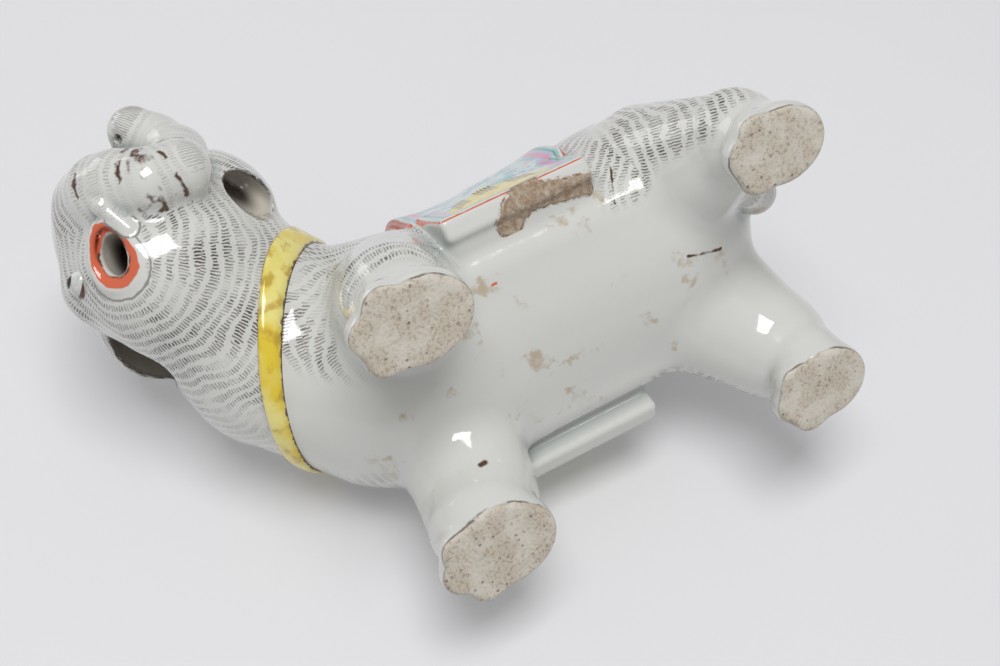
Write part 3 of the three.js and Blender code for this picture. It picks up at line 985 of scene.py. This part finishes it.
def clay_patch(paint, where, tone):
    """Where the glaze has crept back from the clay under the left flap."""
    moved = paint.warped(where, 0.25, 2.0)
    near_front = paint.line_distance(moved, (30.0, -9.0, 28.5), (36.0, -3.0, 28.5))
    near_rear = paint.line_distance(moved, (33.0, -2.0, 28.5), (30.0, 12.0, 28.5))
    bare = paint.either(paint.step(near_front, 4.0, 3.4), paint.step(near_rear, 3.2, 2.7))
    rim = paint.either(paint.step(near_front, 4.7, 4.0), paint.step(near_rear, 3.9, 3.2))
    grit = paint.noise(where, 0.7, 5.0, 0.7)
    clay = paint.mix(paint.step(grit, 0.35, 0.75, 0.0, 0.8), CLAY_BARE, CLAY)
    under = paint.step(paint.split(where)[2], 31.5, 30.5)
    tone = paint.mix(paint.both(rim, under, paint.step(grit, 0.4, 0.6)), tone, RUST)
    return paint.mix(paint.both(bare, under), tone, clay), paint.both(bare, under), grit


def cloth_picture(paint, where, tone, side):
    """Enamels on the outside of the saddle cloth: border lines, scalloped yellow and cloud."""
    out_face = paint.step(paint.attribute("outer"), 0.50, 0.65)
    if side:
        axes = flap_axes(side)
        hem_at = (side * FLAP_BOTTOM[side][0], SADDLE_MID_Y, FLAP_BOTTOM[side][1])
        up_from_hem = paint.math("MULTIPLY", paint.along(where, hem_at, axes[:, 1]), -1.0)
    else:
        height = paint.math("SUBTRACT", paint.split(where)[2], FLAP_BOTTOM[1][1])
        up_from_hem = paint.math("MULTIPLY", height, 1.1)
    lengthwise = paint.along(where, (0, SADDLE_MID_Y, 0), (0, 1, 0))
    half = FLAP_LENGTH / 2 if side else CLOTH_LENGTH / 2
    from_end = paint.math("SUBTRACT", half, paint.math("ABSOLUTE", lengthwise))
    from_edge = paint.math("MINIMUM", up_from_hem, from_end)
    from_edge = paint.math("ADD", from_edge, paint.centred(where, 0.3, 2.0, 0.8))
    # three scallops of yellow stand on the border, each with a fan of black hairs
    along = paint.math("ADD", lengthwise, 1.8)
    lobes = paint.math("ABSOLUTE", paint.math("COSINE", paint.math("MULTIPLY", along, math.pi / 8.0)))
    ends = paint.step(paint.math("ABSOLUTE", along), 11.5, 15.0)
    cloud = paint.noise(paint.warped(where, 0.12, 4.0), 0.22, 3.0)
    field = paint.mix(paint.step(cloud, 0.46, 0.62), TURQUOISE_PALE, TURQUOISE)
    field = paint.mix(paint.band(cloud, 0.50, 0.53, 0.01), field, LAVENDER)
    blush = paint.step(paint.noise(where, 0.16, 2.0), 0.56, 0.66, 0.0, 0.6)
    field = paint.mix(paint.both(ends, blush), field, PINK)
    yellow = paint.mix(paint.step(paint.noise(where, 0.5, 2.0), 0.4, 0.7), YELLOW, LEMON)
    rim = paint.math("MULTIPLY_ADD", lobes, 1.8, 19.5)
    along_squared = paint.math("POWER", paint.math("ABSOLUTE", along), 2.0)
    rim = paint.math("MULTIPLY_ADD", along_squared, -0.075, rim)
    below_rim = paint.math("SUBTRACT", rim, up_from_hem)
    inside = paint.step(below_rim, 0.0, 0.2)
    picture = paint.mix(inside, field, yellow)
    swing = paint.math("MULTIPLY_ADD", up_from_hem, 0.35, paint.math("MULTIPLY", lengthwise, math.pi))
    hairs = paint.math("ABSOLUTE", paint.math("SINE", swing))
    fan = paint.both(paint.band(below_rim, -1.2, 8.0, 0.5), paint.step(hairs, 0.55, 0.75),
                     paint.step(lobes, 0.45, 0.6), paint.step(ends, 0.5, 0.1))
    picture = paint.mix(fan, picture, INK)
    picture = paint.mix(paint.both(ends, paint.band(from_edge, 2.0, 6.0, 0.2)), picture, LAVENDER)
    picture = paint.mix(paint.both(ends, paint.band(from_edge, 4.0, 5.4, 0.2)), picture, PINK)
    picture = paint.mix(paint.band(from_edge, 1.5, 2.5, 0.1), picture, TURQUOISE)
    picture = paint.mix(paint.band(from_edge, 2.2, 2.7, 0.08), picture, LEAF)
    picture = paint.mix(paint.step(from_edge, 1.45, 1.3), picture, TURQUOISE_PALE)
    picture = paint.mix(paint.step(from_edge, 0.75, 0.6), picture, CORAL)
    return paint.mix(paint.both(out_face, paint.step(from_end, -0.6, -0.2)), tone, picture)


def flap_glaze(name, side):
    paint = Paint(name)
    where = paint.place()
    tone = cloth_picture(paint, where, glazed_ground(paint, where), side)
    paint.shader.inputs["Specular IOR Level"].default_value = 0.3
    if side > 0:
        tone, bare, grit = clay_patch(paint, where, tone)
        return finished_skin(paint, where, tone, bare, grit, roughness=0.16, coat=0.1)
    return finished_skin(paint, where, tone, roughness=0.16, coat=0.1)


def collar_enamel():
    """Yellow, deeper where it is thick, with brown stains and a dark line along each edge."""
    paint = Paint("collar_enamel")
    where = paint.place()
    tone = paint.mix(paint.step(paint.noise(where, 0.09, 3.0), 0.38, 0.62), LEMON, YELLOW)
    tone = paint.mix(paint.step(paint.noise(where, 0.22, 3.0), 0.50, 0.66, 0.0, 0.8), tone, YELLOW_DEEP)
    stain = paint.step(paint.noise(where, 0.13, 4.0), 0.63, 0.72, 0.0, 0.7)
    tone = paint.mix(stain, tone, RUST)
    from_middle = paint.math("ABSOLUTE", paint.along(where, COLLAR_AT, COLLAR_NORMAL))
    ragged = paint.math("MULTIPLY_ADD", paint.noise(where, 0.6, 2.0), 0.7, from_middle)
    edge = COLLAR_WIDTH / 2
    tone = paint.mix(paint.step(ragged, edge + 0.02, edge + 0.25), tone, BROWN_LINE)
    return finished_skin(paint, where, tone, roughness=0.14)


def eye_enamel():
    """A black pupil in a white bead, with a brown line round it."""
    paint = Paint("eye_enamel")
    where = paint.place()
    middle = paint.attribute("pupil")
    cloud = paint.noise(where, 0.8, 2.0)
    tone = paint.mix(paint.step(cloud, 0.4, 0.7), GLAZE, GLAZE_POOLED_AND_SHADED)
    tone = paint.mix(paint.step(middle, 1.25, 1.35), tone, BROWN_LINE)
    tone = paint.mix(paint.step(middle, 0.55, 0.48), tone, HOLLOW_SHADE_AND_PUPIL_BLACK)
    return finished_skin(paint, where, tone, roughness=0.08)


# ---------- smooth coordinates that the brushwork follows ----------
def leg_hair(p, name):
    """Rows round a leg, counted up from the foot."""
    leg = LEGS[name]
    foot = np.array([leg.side * leg.foot[0], leg.foot[1], 0.0])
    hip = np.array([leg.side * leg.hip[0], leg.hip[1], leg.hip[2]])
    axis = unit(hip - foot)
    across = unit(np.cross(axis, [0, 1, 0]))
    third = np.cross(axis, across)
    q = p - foot
    return np.stack([q @ across, q @ third, np.linalg.norm(q, axis=1)], axis=1)


def hair_for(name, p):
    """Two coordinates across the brushed rows and one that counts them."""
    if "head" in name or "ear" in name:
        q = (p - MOUTH_AT) @ MOUTH_AXES
        return np.stack([q[:, 0], q[:, 1], np.linalg.norm(p - MOUTH_AT, axis=1)], axis=1)
    if name in TORSO_HALVES:
        side = "left" if name == "torso_left_half" else "right"
        front, rear = leg_hair(p, "front_leg_" + side), leg_hair(p, "rear_leg_" + side)
        return np.where((p[:, 1] < SADDLE_MID_Y + 6)[:, None], front, rear)
    if name in LEGS:
        return leg_hair(p, name)
    if name in ("trunk", "tail"):
        path = TRUNK_PATH if name == "trunk" else TAIL_PATH
        return path_hair(p, path)
    return np.zeros_like(p)


def path_hair(p, path):
    """Distance along a bent limb, and two coordinates across it."""
    best = np.full(len(p), 1e9)
    hair = np.zeros_like(p)
    travelled = 0.0
    for (a, ra), (b, rb) in zip(path, path[1:]):
        a, b = np.asarray(a, dtype=float), np.asarray(b, dtype=float)
        length = np.linalg.norm(b - a)
        axis = (b - a) / length
        along = np.clip((p - a) @ axis, 0, length)
        off = p - a - along[:, None] * axis
        d = np.linalg.norm(off, axis=1)
        across = unit(np.cross(axis, HEAD_UP + 0.1))
        third = np.cross(axis, across)
        here = np.stack([off @ across, off @ third, travelled + along], axis=1)
        closer = d < best
        hair[closer] = here[closer]
        best = np.minimum(best, d)
        travelled += length
    return hair


def rise(x, low, high):
    t = np.clip((x - low) / (high - low), 0, 1)
    return t * t * (3 - 2 * t)


def ink_for(name, p, n):
    """How strongly a piece is brushed with hair at each point."""
    side = 1 if name.endswith(("left_half", "left")) else -1
    outward = n[:, 0] * side
    if name in HEAD_HALVES:
        q = (p - MOUTH_AT) @ MOUTH_AXES
        ring = np.hypot(q[:, 0] / MOUTH_HALF[0], q[:, 1] / MOUTH_HALF[1])
        return rise(ring, 1.65, 1.8) * (1 - 0.55 * rise(np.linalg.norm(p - MOUTH_AT, axis=1), 34, 52))
    if name in TORSO_HALVES:
        shoulder = rise(p[:, 1], SADDLE_MID_Y - 16, SADDLE_MID_Y - 24)
        haunch = rise(p[:, 1], SADDLE_MID_Y + 18, SADDLE_MID_Y + 23)
        flank = rise(outward, 0.35, 0.6) + rise(n[:, 2], -0.1, 0.3)
        return np.clip(flank, 0, 1) * np.clip(shoulder + haunch + rise(p[:, 2], 44, 50), 0, 1)
    if "leg" in name:
        return rise(outward, 0.35, 0.6) * rise(p[:, 2], 12, 16)
    if name == "trunk":
        hair = path_hair(p, TRUNK_PATH)[:, 2]
        return 0.25 + 0.75 * np.maximum(rise(hair, 26, 14), rise(hair, 62, 70))
    if name.startswith("ear"):
        return np.where(uncut_distance(p) < -0.4, 0.0, 0.9)
    if name == "tail":
        return np.full(len(p), 0.4)
    return np.zeros(len(p))


# ---------- pieces ----------
SHELL_WALL = 4.0                # pressed clay wall of the body and head, mm
EAR_WALL = 0.8                  # the ears are closed just under the skin, mm
FULLY_DEEP = 9.0                # depth at which a hollow is painted fully dark as shade, mm
COLLAR_WIDTH = 5.4
COLLAR_THICK = 1.5
EYES = {                        # on the head: where it sits, its radii, where it looks
    "eye_left": ((15.5, 22, 10), (2.6, 4.2, 3.4), (0.85, 0.5, -0.15)),
    "eye_right": ((-13.6, 25.2, -9), (3.8, 3.8, 3.0), (-0.35, 0.9, 0.1)),
}


def skin_materials():
    cloth = flap_glaze("cloth_glaze", 0)
    body, leg, head, ear = body_glaze(), leg_glaze(), head_glaze(), ear_glaze()
    return {
        "torso_left_half": body, "torso_right_half": body, "tail": body, "vase_socket": body,
        "head_left_half": head, "head_right_half": head, "ear_left": ear, "ear_right": ear,
        "front_leg_left": leg, "front_leg_right": leg, "rear_leg_left": leg, "rear_leg_right": leg,
        "trunk": trunk_glaze(), "saddle_cloth": cloth,
        "saddle_flap_left": flap_glaze("flap_left_glaze", 1),
        "saddle_flap_right": flap_glaze("flap_right_glaze", -1),
    }


def outerness(name, p, n):
    """One on the painted outside of the saddle cloth and its flaps, nought elsewhere."""
    if name.startswith("saddle_flap"):
        outward = flap_axes(1 if name.endswith("left") else -1)[:, 2]
        return np.clip(n @ outward, 0, 1)
    if name == "saddle_cloth":
        inside = np.abs(p[:, 1] - SADDLE_MID_Y) < CLOTH_LENGTH / 2 + 1
        return np.where(inside & (uncut_distance(p) > -1.0), 1.0, 0.0)
    return np.zeros(len(p))


def keep(piece, node):
    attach(piece, "root")
    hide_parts(node)


def build_skin_pieces():
    points, quads, normals = skin_surface()
    face_label = labels_at(points[quads].mean(axis=1))
    points, normals = seams_straightened(points, quads, normals, face_label)
    materials = skin_materials()
    pieces = {}
    for index, name in enumerate(NAMES):
        faces = quads[face_label == index]
        wall = SHELL_WALL if name in HALVES else EAR_WALL if name.startswith("ear") else None
        piece, p = closed_piece(name + "_piece", points, faces, normals, wall)
        n = slope_of(skin_distance, p)
        # how hollow the skin is here; the glaze is painted darker there, as pooled glaze and painted shade
        floats(piece, "cavity", 1 - np.clip(skin_distance(p + n * 3.0) / 3.0, 0, 1))
        # depth inside an opening; the glaze turns cream, then is painted dark as shade further in
        deep = np.maximum(-uncut_distance(p), 0)
        if name in HALVES:
            deep[len(p) // 2:] = FULLY_DEEP     # the inner face of the shell, painted fully dark as shade
        floats(piece, "deep", deep)
        floats(piece, "hair", hair_for(name, p), "FLOAT_VECTOR")
        floats(piece, "ink", ink_for(name, p, n))
        floats(piece, "outer", outerness(name, p, n))
        piece.data.materials.append(materials[name])
        keep(piece, name)
        pieces[name] = piece
    return pieces


def skin_radius(middles, rays):
    """How far the skin lies from each starting point along its ray, by bisection."""
    near_end, far_end = np.full(len(rays), 8.0), np.full(len(rays), 60.0)
    for _ in range(18):
        half_way = (near_end + far_end) / 2
        inside = uncut_distance(middles + rays * half_way[:, None]) < 0
        near_end = np.where(inside, half_way, near_end)
        far_end = np.where(inside, far_end, half_way)
    return near_end


def build_collar():
    """A band of clay laid round the neck over the join, following the skin below it."""
    around, over = 150, 9
    first = unit(np.cross(COLLAR_NORMAL, (1.0, 0, 0)))
    second = np.cross(COLLAR_NORMAL, first)
    angles = np.linspace(0, 2 * math.pi, around, endpoint=False)
    rays = np.cos(angles)[:, None] * first + np.sin(angles)[:, None] * second

    def row(share, lift):
        middle = COLLAR_AT + COLLAR_NORMAL * share * COLLAR_WIDTH / 2
        reach = skin_radius(np.tile(middle, (around, 1)), rays)
        return middle + rays * (reach + lift)[:, None]

    shares = np.linspace(-1, 1, over)
    rows = [row(share, COLLAR_THICK * (1 - abs(share) ** 4) ** 0.5) for share in shares]
    rows += [row(share, -0.8) for share in (1.0, -1.0)]
    points = np.concatenate(rows)
    count = len(rows)
    quads = [(r * around + k, r * around + (k + 1) % around,
              (r + 1) % count * around + (k + 1) % around, (r + 1) % count * around + k)
             for r in range(count) for k in range(around)]
    piece, _, _ = mesh_object("collar_band_piece", points, quads)
    turned_outward(piece)
    piece.data.materials.append(collar_enamel())
    keep(piece, "collar_band")


def turned_outward(piece):
    work = bmesh.new()
    work.from_mesh(piece.data)
    bmesh.ops.recalc_face_normals(work, faces=work.faces)
    work.to_mesh(piece.data)
    work.free()


def build_eyes():
    """Beads set in the head, each an almond with a domed pupil."""
    enamel = eye_enamel()
    for name, (place, size, outward) in EYES.items():
        work = bmesh.new()
        bmesh.ops.create_uvsphere(work, u_segments=32, v_segments=20, radius=1.0)
        local = np.array([v.co[:] for v in work.verts])
        quads = [[v.index for v in f.verts] for f in work.faces]
        work.free()
        facing = local @ unit(outward)
        almond = local * np.array(size) * (1 - 0.12 * np.abs(local[:, 2:3]))
        almond += unit(outward) * np.maximum(facing - 0.75, 0)[:, None] * 2.0
        points = on_head(*place) + almond @ HEAD_AXES.T
        mesh = bpy.data.meshes.new(name + "_piece")
        mesh.from_pydata(to_frame(points).tolist(), [], quads)
        mesh.shade_smooth()
        piece = bpy.data.objects.new(name + "_piece", mesh)
        bpy.context.scene.collection.objects.link(piece)
        floats(piece, "pupil", np.arccos(np.clip(facing, -1, 1)))
        mesh.materials.append(enamel)
        keep(piece, name)


# ---------- camera, light and stage ----------
CAMERA_FROM = np.array([195.1, -108.9, -289.3])          # figure coordinates, mm
CAMERA_LOOK = unit([-0.5009, 0.2333, 0.8334])
CAMERA_UP = unit([0.8235, 0.4248, 0.3761])
LENS_MM = 57.6
SENSOR_MM = 36.0
TABLE_UP = unit([0.868, 0.101, -0.486])                  # the table it lies on in the main view


def aim(thing, look, up):
    look = Vector(look).normalized()
    right = look.cross(Vector(up)).normalized()
    true_up = right.cross(look)
    thing.matrix_world = (Matrix.Translation(thing.location)
                          @ Matrix((right, true_up, -look)).transposed().to_4x4())


def add_camera():
    data = bpy.data.cameras.new("view")
    data.lens = LENS_MM
    data.sensor_width = SENSOR_MM
    camera = bpy.data.objects.new("view", data)
    camera.location = to_frame(CAMERA_FROM)
    aim(camera, CAMERA_LOOK, CAMERA_UP)
    bpy.context.scene.collection.objects.link(camera)
    bpy.context.scene.camera = camera


def add_light(name, direction, distance, size, watts):
    data = bpy.data.lights.new(name, "AREA")
    data.shape = "RECTANGLE"
    data.size, data.size_y = size
    data.energy = watts
    light = bpy.data.objects.new(name, data)
    middle = (Vector(CAD_BOX[0]) + Vector(CAD_BOX[1])) / 2
    light.location = middle + Vector(unit(direction)) * distance
    aim(light, -unit(direction), (0.1, 1, 0.2))
    bpy.context.scene.collection.objects.link(light)


def add_world():
    world = bpy.data.worlds.new("studio")
    bpy.context.scene.world = world
    world.use_nodes = True
    background = world.node_tree.nodes["Background"]
    background.inputs["Color"].default_value = colour(0.81, 0.81, 0.81)
    background.inputs["Strength"].default_value = 0.54
    bpy.context.scene.view_settings.view_transform = "Standard"


PAPER_GLOW = 0.13               # light that the paper gives off of itself
TABLE_HALF = 3.0                # half the side of a sheet of paper, m


def one_sided_paper():
    """White paper that is only there from its upper side."""
    paint = Paint("paper")
    where = paint.place()
    tone = paint.mix(paint.noise(where, 0.01), colour(0.61, 0.61, 0.625), colour(0.63, 0.63, 0.645))
    material = paint.finish(tone, 0.8, coat=0.0)
    paint.shader.inputs["Emission Color"].default_value = colour(0.80, 0.81, 0.825)
    paint.shader.inputs["Emission Strength"].default_value = PAPER_GLOW
    clear = paint.node("ShaderNodeBsdfTransparent")
    either = paint.node("ShaderNodeMixShader")
    paint.tree.links.new(paint.node("ShaderNodeNewGeometry").outputs["Backfacing"], either.inputs[0])
    paint.tree.links.new(paint.shader.outputs[0], either.inputs[1])
    paint.tree.links.new(clear.outputs[0], either.inputs[2])
    paint.tree.links.new(either.outputs[0], paint.output.inputs["Surface"])
    return material


def add_table(name, up, touching, paper):
    mesh = bpy.data.meshes.new(name)
    up = Vector(up)
    side = up.orthogonal().normalized()
    other = up.cross(side)
    corners = [Vector(touching) + (side * sx + other * sy) * TABLE_HALF
               for sx, sy in ((-1, -1), (1, -1), (1, 1), (-1, 1))]
    mesh.from_pydata([tuple(c) for c in corners], [], [(0, 1, 2, 3)])
    mesh.materials.append(paper)
    table = bpy.data.objects.new(name, mesh)
    bpy.context.scene.collection.objects.link(table)
    return table


def lowest_along(direction, pieces):
    """How far down the lowest point of any piece lies along a direction."""
    corners = (np.array([v.co[:] for v in piece.data.vertices]) for piece in pieces.values())
    return min((co @ direction).min() for co in corners)


pieces = build_skin_pieces()
build_collar()
build_eyes()
add_camera()
add_world()
add_light("key", TABLE_UP + 0.1 * CAMERA_UP - 0.6 * CAMERA_LOOK, 1.0, (0.4, 0.55), 7.0)
add_light("over", (0.55, -0.35, 0.6), 1.0, (0.5, 0.5), 1.0)
side_level = lowest_along(TABLE_UP, pieces)
paper = one_sided_paper()
add_table("side_table", TABLE_UP, TABLE_UP * side_level, paper)
floor = add_table("floor", (0, 0, 1), (0, 0, -0.2 * MM), paper)
for seen_by in ("diffuse", "glossy", "transmission", "shadow"):
    setattr(floor, "visible_" + seen_by, False)
